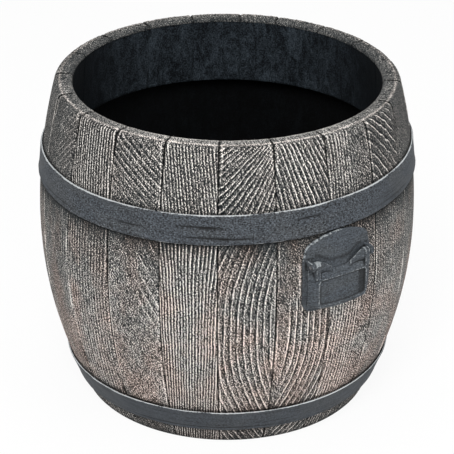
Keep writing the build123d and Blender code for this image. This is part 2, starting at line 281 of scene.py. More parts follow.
class Finish(Nodes):
    """A procedural material, built node by node around one Principled BSDF."""

    def __init__(self, name):
        self.material = bpy.data.materials.new(name)
        self.material.use_nodes = True
        super().__init__(self.material.node_tree)
        self.surface = self.tree.nodes["Principled BSDF"]
        self.object = self.tree.nodes.new("ShaderNodeTexCoord").outputs["Object"]

    def attribute(self, name):
        made = self.node("ShaderNodeAttribute", {"attribute_name": name}, {})
        return Value(self, made.outputs["Fac"])

    def flat(self):
        """The piece's own coordinates, rolled out flat."""
        return self.node("ShaderNodeUVMap", {"uv_map": "flat"}, {}).outputs["UV"]

    def stretched(self, scale, source=None, turn=(0, 0, 0)):
        """Coordinates multiplied by a scale for each axis."""
        sockets = {"Vector": source or self.object, "Scale": scale, "Rotation": turn}
        return self.node("ShaderNodeMapping", {}, sockets).outputs["Vector"]

    def noise(self, vector, scale, detail=3.0, roughness=0.55, distortion=0.0):
        sockets = dict(Vector=vector, Scale=scale, Detail=detail, Roughness=roughness, Distortion=distortion)
        return Value(self, self.node("ShaderNodeTexNoise", {}, sockets).outputs["Fac"])

    def flat_noise(self, scale, stretch=(1, 1, 1), detail=0.0):
        """Noise in the piece's own flat coordinates, which are in centimetres."""
        sockets = dict(Vector=self.stretched(stretch, self.flat()), Scale=scale, Detail=detail, Roughness=0.6)
        made = self.node("ShaderNodeTexNoise", {"noise_dimensions": "2D"}, sockets)
        return Value(self, made.outputs["Fac"])

    def grains(self, columns, rows):
        """How far each tiny grain of the piece's flat coordinates is brighter than two grains beside it."""
        place = self.stretched((columns, rows, 1), self.flat())

        def grain(step):
            moved = self.node("ShaderNodeVectorMath", {"operation": "ADD"}, {0: place, 1: step}).outputs[0]
            cell = self.node("ShaderNodeVectorMath", {"operation": "FLOOR"}, {0: moved}).outputs[0]
            made = self.node("ShaderNodeTexWhiteNoise", {"noise_dimensions": "2D"}, {"Vector": cell})
            return Value(self, made.outputs["Value"])

        return grain((0, 0, 0)) - (grain((1, 0, 0)) + grain((0, 1, 0))) * 0.5

    def blend(self, factor, first, second):
        """A colour between two colours, which are sockets 6 and 7 of a colour mix."""
        sockets = {0: factor}
        for place, colour in ((6, first), (7, second)):
            sockets[place] = colour if isinstance(colour, bpy.types.NodeSocket) else (*colour, 1)
        return self.node("ShaderNodeMix", {"data_type": "RGBA"}, sockets).outputs[2]

    def ramp(self, factor, stops):
        """A colour that runs through stops, each a place from 0 to 1 and a colour."""
        made = self.node("ShaderNodeValToRGB", {}, {"Fac": factor})
        bar = made.color_ramp.elements
        while len(bar) < len(stops):
            bar.new(1.0)
        for element, (place, colour) in zip(bar, stops):
            element.position, element.color = place, (*colour, 1)
        return made.outputs["Color"]

    def shade(self, factor, colour):
        """A colour multiplied by a number."""
        made = self.node("ShaderNodeVectorMath", {"operation": "SCALE"}, {0: colour, 3: factor})
        return made.outputs[0]

    def bump(self, height, distance, strength=1.0):
        made = self.node("ShaderNodeBump", {}, {"Height": height, "Distance": distance, "Strength": strength})
        self.feed(self.surface, {"Normal": made.outputs["Normal"]})

    def set(self, **sockets):
        self.feed(self.surface, {key.replace("_", " "): value for key, value in sockets.items()})


# Colours of a stave from a deep groove to its palest paint, where the wood is cool and where it is warm.
TONE_PLACES = (0.0, 0.22, 0.48, 0.76, 1.0)
COOL = (
    (0.008, 0.010, 0.011),
    (0.036, 0.040, 0.042),
    (0.175, 0.172, 0.165),
    (0.50, 0.48, 0.45),
    (0.90, 0.86, 0.81),
)
PINK = (
    (0.011, 0.010, 0.009),
    (0.045, 0.039, 0.036),
    (0.205, 0.166, 0.146),
    (0.59, 0.47, 0.42),
    (0.95, 0.82, 0.75),
)


def stave_finish():
    """Dark stained wood with pale paint left on its raised grain, and a near-black inside."""
    finish = Finish("weathered_stave")
    tone, warm, speck, paint = (finish.attribute(key) for key in ("tone", "warm", "speck", "paint"))
    edge, rub, outside, deep = (finish.attribute(key) for key in ("edge", "rub", "outside", "deep"))
    bright = finish.attribute("bright")
    fleck = finish.flat_noise(6.4, (1, 0.8, 1))
    grit = finish.grains(9.5, 8.0)
    fibre = finish.flat_noise(6.6, (1, 0.13, 1))
    patch = finish.noise(finish.object, 26.0, 3.0, 0.6)
    dragged = finish.noise(finish.stretched((1, 1, 0.22)), 330.0, 3.0, 0.65)

    def ridges(number):
        """The pale crests of one run of grain, less the dark grooves beside them."""
        keys = ("rings", "bold", "pitch", "dark")
        rings, bold, pitch, dark = (finish.attribute(f"{key}_{number}") for key in keys)
        near = pitch.math("MINIMUM", 6.0)
        across = ((rings + 0.5).math("FRACT") - 0.5) * pitch + (dragged - 0.5) * near * 0.16
        width = near * 0.14 + 0.22
        crest = 1 - (across.math("ABSOLUTE") / width).step(0.2, 1.0)
        # Each groove lies to one side of its crest: dark wash in the grain with painted shadow of the raised
        # crest.
        groove = 1 - ((across - near.math("MINIMUM", 4.2) * 0.5).math("ABSOLUTE") / width).step(0.4, 1.3)
        return bold * (crest * (0.66 + fleck * 0.7 + grit * 0.45) - groove * dark)

    line = ridges(1) + ridges(2)
    rubbed_edge = rub * (1 - (edge - 2.1).math("ABSOLUTE").step(0.25, 0.90))
    level = 0.32 + ((fleck - 0.5) * 0.75 + grit * 0.95 + (fibre - 0.5) * 0.6) * speck
    level = (level + (dragged - 0.5) * 0.12 + line + rubbed_edge * 0.55 + paint + (patch - 0.5) * 0.18) * tone
    cool, pink = (finish.ramp(level, list(zip(TONE_PLACES, colours))) for colours in (COOL, PINK))
    outer = finish.blend(warm, cool, pink)
    smeared = finish.noise(finish.stretched((1, 1, 0.6), turn=(0.7, 0.5, 0)), 190.0, 5.0, 0.78, 0.8)
    stroke = finish.noise(finish.stretched((1, 1, 0.35), turn=(0.8, 0.3, 0)), 60.0, 4.0, 0.7, 1.2)
    brushed = smeared * 0.8 + stroke * 0.7 - 0.26 + (fleck - 0.5) * 0.4
    # Brush strokes inside the mouth show pale where painted light lies on them, most on the side opposite the
    # camera.
    brushed_and_lit_inside = (brushed.step(0.25, 1.0) * bright).clamp()
    inner = finish.blend(brushed_and_lit_inside, (0.0020, 0.0030, 0.0042), (0.064, 0.082, 0.100))
    inner = finish.shade(1 - deep * 0.93, inner)
    colour = finish.blend(outside.step(0.10, 0.24), inner, outer)
    gap = (1 - edge.step(0.3, 1.05)) * (0.25 + outside.step(0.1, 0.5) * 0.75)
    # The painted shadow line along the hoops' edges darkens the colour here.
    seat = finish.attribute("seat").clamp()
    colour = finish.shade((1 - gap * 0.96) * (1 - seat * 0.9), colour)
    finish.set(Base_Color=colour, Roughness=0.92 - level.clamp() * 0.12, Specular_IOR_Level=0.10)
    finish.bump(line.clamp() * 0.8 + fleck * 0.5 + smeared * (1 - outside) * 0.7, 0.0008, 0.8)
    return finish.material


def iron_finish(name, tint, worn):
    """Matt blue-grey paint on iron, dragged along with a brush, with worn edges, and hollows darkened by dark wash
    and painted shade.
    """
    finish = Finish(name)
    wear, dark_wash_and_shade, rough = (finish.attribute(key) for key in ("wear", "dark_wash_and_shade", "rough"))
    mottle = finish.noise(finish.object, 60.0, 4.0, 0.65)
    cloud = finish.noise(finish.stretched((1, 1, 2.5)), 17.0, 2.0, 0.5)
    grit = finish.noise(finish.object, 560.0, 1.0, 0.6)
    pit = finish.flat_noise(7.5, (0.5, 1, 1), 1.0)
    streak = finish.flat_noise(2.6, (0.05, 2.0, 1), 3.0)
    shade = 0.66 + mottle * 0.42 + cloud * 0.30 + (streak - 0.5) * rough * 1.6
    shade = shade + ((grit - 0.5) * 3.4 + (pit - 0.5) * 2.4) * rough - streak.step(0.53, 0.62) * 0.42
    shade = shade + pit.step(0.66, 0.80) * rough * 1.2
    base = finish.blend(cloud.step(0.40, 0.62), tint, tuple(c * f for c, f in zip(tint, (1.04, 1.0, 0.95))))
    base = finish.shade(shade, base)
    rubbed = ((wear * 1.3 + (mottle - 0.5) * 0.8 + (grit - 0.5) * 1.3).step(0.55, 1.10)).clamp()
    colour = finish.blend(rubbed, base, worn)
    # Darker where there is dark wash and painted shade.
    colour = finish.shade(1 - (dark_wash_and_shade * 0.85).clamp(), colour)
    finish.set(Base_Color=colour, Roughness=(0.84 - mottle * 0.22), Specular_IOR_Level=0.28)
    finish.bump(mottle * 0.7 + grit * (0.2 + rough * 0.5), 0.0007, 0.7)
    return finish.material


def plain_wood_finish():
    """Sawn, unpainted boards, dark with age and damp."""
    finish = Finish("aged_head_board")
    rings = finish.noise(finish.stretched((0.05, 1, 1)), 320.0, 4.0, 0.6, 0.3)
    blotches = finish.noise(finish.object, 18.0, 4.0, 0.6)
    colour = finish.blend(rings.step(0.35, 0.7), (0.020, 0.018, 0.016), (0.075, 0.062, 0.050))
    colour = finish.shade(0.55 + blotches * 0.7, colour)
    finish.set(Base_Color=colour, Roughness=0.95 - rings * 0.12)
    finish.bump(rings, 0.0006, 0.8)
    return finish.material


def steel_finish():
    """Dull zinc on pins, washers and nuts."""
    finish = Finish("dull_zinc")
    cloud = finish.noise(finish.object, 260.0, 4.0, 0.6)
    spot = finish.noise(finish.object, 90.0, 3.0, 0.6)
    colour = finish.blend(cloud, (0.16, 0.16, 0.165), (0.30, 0.30, 0.31))
    colour = finish.blend(spot.step(0.58, 0.72), colour, (0.10, 0.065, 0.045))
    finish.set(Base_Color=colour, Roughness=0.42 + cloud * 0.3, Metallic=0.9 - spot.step(0.58, 0.72) * 0.7)
    finish.bump(cloud, 0.0001, 0.5)
    return finish.material


STAVE = stave_finish()
HOOP = iron_finish("blue_grey_hoop", (0.045, 0.052, 0.061), (0.46, 0.48, 0.49))
HANDLE = iron_finish("blue_grey_casting", (0.052, 0.061, 0.072), (0.26, 0.28, 0.29))
HEAD = plain_wood_finish()
ZINC = steel_finish()


# ---------------------------------------------------------------- staves

ROW_STEP = 1.8  # between the rows of points up a stave's outside
COLUMNS = 80  # points across a stave


def rounded_corner(before, corner, after, radius, steps):
    """Points of an arc that rounds a corner between two straight lines."""
    before, corner, after = (np.array(p, float) for p in (before, corner, after))
    one, two = before - corner, after - corner
    one, two = one / np.linalg.norm(one), two / np.linalg.norm(two)
    half = math.acos(np.clip(one @ two, -1, 1)) / 2
    middle = (one + two) / np.linalg.norm(one + two)
    centre = corner + middle * radius / math.sin(half)
    reach = radius / math.tan(half)
    start, end = corner + one * reach - centre, corner + two * reach - centre
    angle = math.acos(np.clip(start @ end / radius**2, -1, 1))
    full = math.sin(angle)
    turns = np.linspace(0, 1, steps)
    return [centre + (start * math.sin((1 - t) * angle) + end * math.sin(t * angle)) / full for t in turns]


def stave_section():
    """The section of a stave: radius, height, how far it is outside, and how deep inside the barrel it is."""
    rows = []

    def add(points, outside, deep):
        rows.extend((float(r), float(z), outside, deep) for r, z in points)

    def inner(z):
        return float(wall_radius(z, -WALL))

    below_lip = (float(wall_radius(HEIGHT - 12)), HEIGHT - 12)
    rim, mouth, shoulder = (RIM_RADIUS, HEIGHT), (MOUTH_RADIUS, HEIGHT), (SHOULDER_RADIUS, SHOULDER_HEIGHT)
    lip = rounded_corner(below_lip, rim, mouth, LIP_ROUND, 12)
    inner_lip = rounded_corner(rim, mouth, shoulder, INNER_LIP_ROUND, 8)
    heights = np.arange(2.0, lip[0][1] - 0.5, ROW_STEP)
    add([(BASE_RADIUS - 2, 0), (BASE_RADIUS - 0.5, 0.6)], 0.6, 0.3)
    add(zip(wall_radius(heights), heights), 1.0, 0.0)
    add(lip, 1.0, 0.0)
    rows[-1] = (*rows[-1][:2], 0.9, 0.0)
    add([(r, HEIGHT) for r in np.linspace(lip[-1][0], inner_lip[0][0], 8)[1:-1]], 0.75, 0.0)
    add(inner_lip, 0.25, 0.0)
    heights = np.array([inner_lip[-1][1] - 0.5, *np.linspace(inner_lip[-1][1], SHOULDER_HEIGHT + 1, 26)[1:]])
    slope = (SHOULDER_RADIUS - MOUTH_RADIUS) / (HEIGHT - SHOULDER_HEIGHT)
    add([(MOUTH_RADIUS + (HEIGHT - z) * slope, z) for z in heights], 0.0, 0.0)
    add([(SHOULDER_RADIUS + 1, SHOULDER_HEIGHT)], 0.0, 0.5)
    add([(r, SHOULDER_HEIGHT) for r in np.linspace(SHOULDER_RADIUS + 4, inner(SHOULDER_HEIGHT), 4)], 0.0, 1.0)
    add([(inner(z), z) for z in np.linspace(SHOULDER_HEIGHT - 4, CROZE_TOP, 34)], 0.0, 1.0)
    croze = inner(CROZE_TOP) + CROZE_DEPTH
    add([(croze, CROZE_TOP), (croze, CROZE_BOTTOM), (inner(CROZE_BOTTOM), CROZE_BOTTOM)], 0.0, 1.0)
    add([(FOOT_INNER_RADIUS + 6, 17.0), (FOOT_INNER_RADIUS, 0.0)], 0.2, 0.6)
    return np.array(rows)


SECTION = stave_section()
GRAIN_CHANGE = 294  # the height, behind the upper hoop, at which a stave's grain and paint change
PALE_LINE = 46.4  # from the middle of a handle

# How each stave's grain runs: below the upper hoop, above it and, where there is a third, in a patch that
# crosses the first. Lengths are in millimetres. s is the spacing of the ridges, or the angle between rays in
# radians. x and z are the place that they are counted from, or that rays spread from, and tilt is how far they
# lean sideways for each one up. bow bends them below z and flare above flare_from, mirror is the side that they
# bend to, fan spreads them with height, and wave is how far rays waver. bold is how much the ridges stand out
# and dark how dark the grooves are, and span and rise are the widths and heights between which they are seen.
RAYS = "rays"
GRAIN = {
    1: (
        dict(s=7.4, x=19.5, z=160, mirror=-1, bow=0.0019, flare_from=190, flare=0.0028, bold=0.85, dark=0.6),
        dict(form=RAYS, s=0.045, x=66, z=430, wave=0.3, bold=0.95, dark=0.8),
        dict(s=7.5, tilt=0.62, x=-30, z=240, bold=0.34, dark=0.2, span=(-40, -8), rise=(222, 300)),
    ),
    2: (
        dict(s=7.6, x=-17.5, z=160, mirror=1, bow=0.0019, bold=1.10, dark=0.5, span=(-20, 40), rise=(0, 208)),
        dict(form=RAYS, s=0.0180, x=-96, z=620, wave=0.15, bold=1.30, dark=0.7),
    ),
    3: (
        dict(s=4.2, x=-33, tilt=0.03, z=160, bold=0.95, dark=1.0, span=(-40, 10)),
        dict(s=4.2, x=-30, tilt=0.0, z=340, bold=1.05, dark=1.1, span=(-40, 6)),
    ),
    4: (
        dict(s=5.0, x=0, tilt=-0.04, z=160, bold=0.25, dark=0.3),
        dict(form=RAYS, s=0.036, x=-160, z=520, wave=0.3, bold=1.10, dark=0.5, span=(-40, 24)),
    ),
    5: (
        dict(s=5.2, x=0, tilt=0.03, z=160, bold=0.2, dark=0.3),
        dict(s=6.0, x=0, tilt=0.12, z=340, bold=0.2, dark=0.2),
    ),
    20: (
        dict(s=3.4, x=-31, z=200, bow=2.7e-4, fan=0.0010, bold=1.40, dark=2.1),
        dict(s=3.6, x=-28, z=340, tilt=-0.13, bold=1.05, dark=1.7),
    ),
    19: (
        dict(s=6.0, x=10, z=100, tilt=0.75, bold=0.20, dark=0.2, rise=(40, 112)),
        dict(s=10.5, x=-30, z=380, tilt=-1.3, bold=0.66, dark=0.7, rise=(316, 400)),
        dict(s=10.5, x=16, z=205, tilt=-0.55, bold=0.55, dark=0.2, span=(4, 34), rise=(172, 300)),
    ),
    18: (
        dict(s=4.6, x=0, z=160, tilt=0.03, bold=0.55, dark=0.6),
        dict(s=3.9, x=0, z=340, tilt=-0.09, bold=1.25, dark=1.7),
    ),
    17: (
        dict(s=4.8, x=0, z=160, tilt=0.03, bold=0.35, dark=0.35),
        dict(s=8.0, x=0, z=340, tilt=0.95, bold=0.35, dark=0.15, span=(-5, 34)),
    ),
    16: (
        dict(s=5.5, x=0, z=160, tilt=-0.02, bold=0.3, dark=0.3),
        dict(s=5.5, x=0, z=340, tilt=-0.2, bold=0.3, dark=0.3),
    ),
}
SMOOTHER = {4: 0.7, 5: 0.5, 6: 0.6, 16: 0.6, 17: 0.7}  # staves whose paint is less speckled and more even
WIDE_JOINT = {18: 1.75}  # staves whose joint with the one before gapes
OTHER_GRAIN = (
    (
        dict(s=4.7, x=0, z=180, tilt=0.02, bow=2e-4, bold=0.65, dark=0.7),
        dict(form=RAYS, s=0.060, x=-58, z=420, bold=0.7, dark=0.3),
    ),
    (
        dict(s=10.5, x=4, z=170, mirror=1, bow=0.0024, bold=0.8, dark=0.2, span=(-40, 40), rise=(0, 225)),
        dict(s=5.2, x=0, z=340, tilt=-0.05, bold=0.65, dark=0.6),
    ),
    (
        dict(s=6.2, x=0, z=120, tilt=0.55, bold=0.4, dark=0.2, rise=(60, 150)),
        dict(s=6.8, x=0, z=340, tilt=-0.65, bold=0.7, dark=0.3),
    ),
    (
        dict(s=4.5, x=0, z=150, tilt=-0.03, bow=-2e-4, bold=0.6, dark=0.7, span=(-40, 12)),
        dict(s=4.8, x=0, z=340, tilt=0.08, bold=0.55, dark=0.6, span=(-12, 40)),
    ),
)


def ring_count(grain, x, z, seed):
    """How many ridges lie between a point and the grain's start, and how far apart they are there."""
    wave = 0.9 * noise(x / 30 + 9, z / 60, seed) + 0.35 * noise(x / 9, z / 16, seed + 3)
    wave = wave + 0.4 * noise(x / 5, z / 90, seed + 6)
    if grain.get("form") == RAYS:
        angle = np.arctan2(x - grain["x"], np.maximum(grain["z"] - z, 1.0))
        pitch = grain["s"] * np.hypot(x - grain["x"], grain["z"] - z)
        return angle / grain["s"] + wave * grain.get("wave", 0.12), pitch
    tilt, bow = grain.get("tilt", 0.0), grain.get("bow", 0.0)
    rise = z - grain["z"]
    below = np.minimum(rise, 0.0)
    across = x - grain["x"] - tilt * rise
    across = across + grain.get("fan", 0.0) * x * (np.maximum(-rise, 0) - 3 * np.maximum(rise, 0))
    across = across - grain.get("flare", 0.0) * np.maximum(z - grain.get("flare_from", 1e3), 0.0) ** 2
    bent = across * grain.get("mirror", 1) + bow * below**2
    slope = np.hypot(1.0, tilt + 2 * bow * below)
    return (bent + wave) / grain["s"], grain["s"] / slope


def drawn_grain(grain, x, z, where, seed):
    """One run of ridges: the ridge count, how bold and how dark it is where it is seen, and its pitch."""
    rings, pitch = ring_count(grain, x, z, seed)
    ridge = np.floor(rings + 0.5)
    own = lattice(ridge, np.zeros_like(rings), seed + 11)
    fade = smoothstep(-0.6, 0.3, noise(ridge * 3.7, z / 24, seed + 12))
    broken = smoothstep(-0.7, 0.2, layered(x / 6, z / 12, seed + 5))
    low, high = grain.get("span", (-99, 99))
    bottom, top = grain.get("rise", (-99, 999))
    drift = 5 * noise(x / 8, z / 20, seed + 17)
    seen = smoothstep(low - 3, low + 3, x + drift) * (1 - smoothstep(high - 4, high + 4, x + drift))
    seen = seen * smoothstep(bottom - 8, bottom + 8, z + drift)
    seen = seen * (1 - smoothstep(top - 8, top + 8, z + drift)) * where
    strength = (0.85 + 0.15 * own) * (0.55 + 0.45 * fade) * (0.75 + 0.25 * broken)
    bold = grain["bold"] * strength * seen
    return {"rings": rings, "bold": bold, "dark": grain["dark"] + 0 * z, "pitch": pitch + 0 * z}


NO_GRAIN = dict(s=6.0, x=0, z=0, bold=0.0, dark=0.0)


def grain_runs(number, x, z):
    """The two runs of grain on a stave's outside: its own, and the patch that crosses it."""
    seed = number * 31
    grains = GRAIN.get(number) or OTHER_GRAIN[number % len(OTHER_GRAIN)]
    patch = grains[2] if len(grains) > 2 else NO_GRAIN
    above = z > GRAIN_CHANGE
    lower = drawn_grain(grains[0], x, z, 1.0, seed)
    upper = drawn_grain(grains[1], x, z, 1.0, seed + 500)
    own = {key: np.where(above, upper[key], lower[key]) for key in lower}
    return own, drawn_grain(patch, x, z, 1.0 - above, seed + 900)


def relief(run):
    """How far one run of grain lifts the surface: above 0 on its crests, and below 0 in its grooves."""
    turn = 2 * np.pi * run["rings"]
    crest = (0.5 + 0.5 * np.cos(turn)) ** 2
    groove = (0.5 - 0.5 * np.cos(turn)) ** 2
    return run["bold"] * crest - run["bold"] * run["dark"] * groove * 0.6


def hoop_lift(which, heading):
    """How far a hoop's lean lifts it at a heading in radians."""
    middle, _, lean = HOOPS[which]
    slope = math.tan(math.radians(lean)) * float(wall_radius(middle))
    return slope * np.cos(heading - math.radians(LEAN_HEADING))


def hoop_edges(which, heading):
    """The heights of a hoop's lower and upper edge at a heading in radians."""
    middle, width, _ = HOOPS[which]
    lift = hoop_lift(which, heading)
    return middle + lift - width / 2, middle + lift + width / 2


def turned_points(r, heading, z):
    """Rows of x, y and z from radii, headings and heights."""
    return np.stack([r * np.cos(heading), r * np.sin(heading), z], -1).reshape(-1, 3)


def own_number(number, row, seed):
    """A repeatable number from -1 to 1 of a stave's own."""
    return float(lattice(np.array([number]), np.array([row]), seed)[0])


def stave_grid(number):
    """A stave's section swept from seam to seam, as grids of numbers, before anything is cut into it."""
    start, end = (math.radians(seam_angle(number - 1 + i)) for i in (0, 1))
    shape = (len(SECTION), COLUMNS)
    at = SimpleNamespace(number=number, seed=number * 31)
    at.reach, at.z, at.face, at.deep = (np.broadcast_to(part[:, None], shape) for part in SECTION.T)
    at.heading = np.broadcast_to(start + (end - start) * np.linspace(0, 1, COLUMNS), shape)
    tangent = np.roll(SECTION[:, :2], -1, 0) - np.roll(SECTION[:, :2], 1, 0)
    tangent /= np.linalg.norm(tangent, axis=1, keepdims=True)
    at.outward, at.upward = tangent[:, 1:2], -tangent[:, 0:1]
    at.x = at.reach * (at.heading - (start + end) / 2)
    at.side = np.sign(at.x)
    at.edge = at.reach * (end - start) / 2 - np.abs(at.x)
    at.on_wall = smoothstep(0.85, 1.0, at.face)
    at.by_rim = at.z > HEIGHT - 5
    at.on_top = smoothstep(0.1, 0.3, at.face) * (1 - at.on_wall) * at.by_rim
    # How far each joint has pulled apart, against a plain one.
    at.gape = 1.0 + 0.3 * noise(at.side * 3, at.z / 60, at.seed + 4)
    before, after = (WIDE_JOINT.get(other, 1.0) for other in (number, number % STAVES + 1))
    at.gape = at.gape * np.where(at.x < 0, before, after)
    return at


def cut_stave(at, line):
    """The points of a stave with its grain, its rounded joints and its knocked rim cut into it."""
    z, seed = at.z, at.seed
    # Joints: a rounded V that wanders in depth, deeper where two staves have pulled apart.
    shoulder = (2.6 + 0.6 * noise(z / 30, at.side * 5, seed + 8)) * np.sqrt(at.gape)
    joint = 1.8 * at.gape * np.clip(1 - at.edge / shoulder, 0, 1) ** 1.8
    joint *= 0.35 + 0.65 * smoothstep(0.2, 0.7, at.face)
    rough = layered(at.x / 9, z / 17, seed + 1)
    brushed = layered(at.x / 5, (z + at.reach) / 11, seed + 2)
    carve = at.on_wall * (0.42 - 0.50 * np.clip(line, -0.8, 0.8) + 0.12 * (0.5 + 0.5 * rough))
    carve += (1 - at.on_wall) * (0.12 + 0.12 * brushed) * (0.4 + 0.6 * (at.face > 0.1))
    collar = (at.face < 0.1) & (z > SHOULDER_HEIGHT + 1)
    carve += collar * (0.40 + 0.40 * layered(at.x / 14, z / 20, seed + 9))
    # Knocks along the rim, and a height that differs a little from stave to stave.
    settle = 0.5 + 0.5 * own_number(at.number, 3, 77)
    lip = smoothstep(HEIGHT - 6, HEIGHT - 1.0, z) * at.on_wall
    knocks = np.clip(layered(at.x / 8, z * 0, seed + 10) - 0.35, 0, 1)
    rim_down = smoothstep(HEIGHT - 10, HEIGHT, z) * (0.25 * settle + 0.7 * lip * knocks)
    # Nothing is cut where the stave stands on the floor.
    drop = (np.maximum(carve, 0.02) + joint) * (1 - smoothstep(5.0, 0.0, z))
    r = at.reach - drop * at.outward
    h = z - drop * at.upward * (1 - 0.1 * at.on_top) - rim_down
    return turned_points(r, at.heading, np.maximum(h, 0))


def hoop_painted_shade(at):
    """Painted shade on a stave: where it is darker under and over the hoops, the painted shadow line where they
    sit on it, and its foot.
    """
    z = at.z
    low_u, high_u = hoop_edges("upper", at.heading)
    low_l, high_l = hoop_edges("lower", at.heading)
    under = np.exp(-np.maximum(low_u - z, 0) / 14) * (z < low_u)
    under = under + np.exp(-np.maximum(z - high_l, 0) / 4) * (z > high_l)
    over = np.exp(-np.maximum(z - high_u, 0) / 6) * (z > high_u)
    # A painted shadow line along each hoop edge, where the hoop sits on the stave.
    seat = np.exp(-np.abs(z - low_u + 0.5) / 1.6) + np.exp(-np.abs(z - high_l - 0.5) / 1.6)
    seat = seat + 0.9 * np.exp(-np.abs(z - high_u - 0.5) / 1.2) + 0.6 * np.exp(-np.abs(z - low_l + 0.5) / 1.4)
    return under, over, seat * at.on_wall, z < low_l


def stave_values(at, runs):
    """What the finish reads at each point of a stave: its tone, its paint, its ridges and its joints."""
    x, z, seed = at.x, at.z, at.seed
    above = z > GRAIN_CHANGE
    smooth = SMOOTHER.get(at.number, 1.0)
    under, over, seat, at_foot = hoop_painted_shade(at)
    # Painted light, as if lit from the camera's side: the rim is painted palest on the side that the camera looks
    # at, and the inside of the mouth is painted lighter on the side opposite it.
    turned = np.cos(at.heading - PAINTED_LIGHT_HEADING)
    front = (0.5 + 0.5 * turned) ** 2
    bright = 0.04 + 0.96 * smoothstep(0.30, 0.97, -turned) + 0 * z

    cloud = layered(x / 40 + 3, z / 60, seed + 13)
    # Painted shade in the tone: darker under and over the hoops, up the wall from 150 mm, above the upper hoop,
    # below the lower hoop and at the very foot. The cloud and each stave's own number vary it at random.
    tone = (1.0 + 0.10 * cloud - 0.72 * under - 0.10 * over) * (1 + 0.04 * own_number(at.number, 1, 9))
    tone = tone * (1 + 0.02 * smoothstep(150, 100, z) - 0.14 * smoothstep(150, 235, z)) * (1 - 0.19 * above)
    # Painted shade: the rim's top and inner lip are darker a quarter turn either side of where the camera looks.
    tone = tone * (1 - at.by_rim * (at.face < 0.9) * 0.17 * (1 - turned**2))
    tone = tone * (1 - 0.33 * at_foot) * (1 - 0.35 * smoothstep(9, 1, z))

    corner = np.exp(-(((at.reach - (RIM_RADIUS - LIP_ROUND + 0.6)) / 1.2) ** 2)) * (z > HEIGHT - 4)
    inner_edge = smoothstep(0.2, 0.25, at.face) * (1 - smoothstep(0.3, 0.5, at.face)) * at.by_rim
    warm = np.clip(0.25 + 0.42 * smoothstep(215, 105, z) + 0.55 * layered(x / 26, z / 40, seed + 14), 0, 1.2)
    warm = np.where(above, (0.04 + warm * 0.22) * (1 - 0.8 * at.on_top), warm * (1 - 0.6 * at_foot))
    warm = np.clip(warm + 0.4 * corner, 0, 1)

    # Pale paint along the lip's corner all round, with painted highlight on it that is strongest towards the
    # camera. The inner edge and the rim's top are painted lighter towards the camera too, the top with some paler
    # paint at random.
    paint = corner * (0.44 + 0.34 * front) * (0.9 + 0.6 * layered(x / 6, z / 3, seed + 16))
    paint = paint + 0.42 * inner_edge * front
    paint = paint + at.on_top * (-0.01 + 0.25 * front + 0.12 * layered(x / 6, at.reach / 3, seed + 15))
    # A thin pale line beside the handle plate on the side that the camera looks at.
    wander = 0.4 * noise(z / 6, z * 0, seed + 19)
    beside = np.abs(at.reach * np.sin(at.heading) + PALE_LINE + wander) * (turned > 0)
    line = 0.7 * np.exp(-((beside / 0.9) ** 2)) * smoothstep(204, 212, z) * smoothstep(254, 247, z)
    paint = paint + line * (turned > 0)
    paint = paint + 0.14 * (1 - smooth) * at.on_wall * (z < GRAIN_CHANGE)

    speck = smooth * (1 + 0.15 * above)
    speck = speck * (1 - at.on_top) + 1.15 * at.on_top - 0.5 * inner_edge
    wide = 1 + 0.8 * smoothstep(HEIGHT - 40, HEIGHT - 8, z)
    edge = at.edge / np.sqrt(at.gape) / wide
    rub = smoothstep(-0.7, 0.5, noise(z / 33, at.side * 9, seed + 18)) * at.on_wall
    values = dict(tone=tone, warm=warm, paint=paint, speck=speck, edge=edge, rub=rub)
    values.update(seat=seat, outside=at.face, deep=at.deep, bright=bright)
    bare = at.on_wall * (1 - 0.8 * smoothstep(HEIGHT - 1.6, HEIGHT - 0.4, z))
    for order, run in enumerate(runs, start=1):
        run["bold"] = run["bold"] * bare
        values.update({f"{key}_{order}": numbers for key, numbers in run.items()})
    return values


def make_stave(number):
    """A stave with its grain cut into it, its edges rounded down into the joints, and a knocked rim."""
    at = stave_grid(number)
    runs = grain_runs(number, at.x, at.z)
    points = cut_stave(at, relief(runs[0]) + relief(runs[1]))
    values = stave_values(at, runs)
    faces = ring_faces(len(SECTION), COLUMNS)[:, ::-1].tolist()
    first = np.arange(len(SECTION)) * COLUMNS
    faces.append(first.tolist())
    faces.append((first + COLUMNS - 1)[::-1].tolist())
    steps = np.linalg.norm(np.diff(SECTION[:, :2], axis=0), axis=1)
    along = np.concatenate([[0.0], np.cumsum(steps)])[:, None] + 0 * at.x
    uv = np.stack([at.x / 10 + 9 * number, along / 10], -1).reshape(-1, 2)
    name = f"stave_{number:02d}"
    piece = make_piece(f"{name}_grained", points, faces, values, STAVE, "barrel", [name], uv)
    for cap in (-2, -1):
        piece.data.polygons[cap].use_smooth = False


for number in range(1, STAVES + 1):
    make_stave(number)


# ---------------------------------------------------------------- hoops


HOOP_COLUMNS, HOOP_ACROSS = 900, 41  # points round a hoop, and across each of its faces
GRITTY = {"upper": 1.0, "lower": 0.4}  # how coarse each hoop's paint is
# Drag marks in the upper hoop's paint: where each starts and ends, in degrees to the right of the barrel's
# front, and its height, from -1 at the lower edge to 1 at the upper one.
DRAG_MARKS = (
    (-15, -1, 0.20),
    (-9, 0, 0.12),
    (-13, 3, -0.52),
    (-5, 9, -0.58),
    (-34, -24, -0.2),
    (20, 30, 0.3),
)
MARK_WIDTH = 0.062  # as a share of half a hoop's width


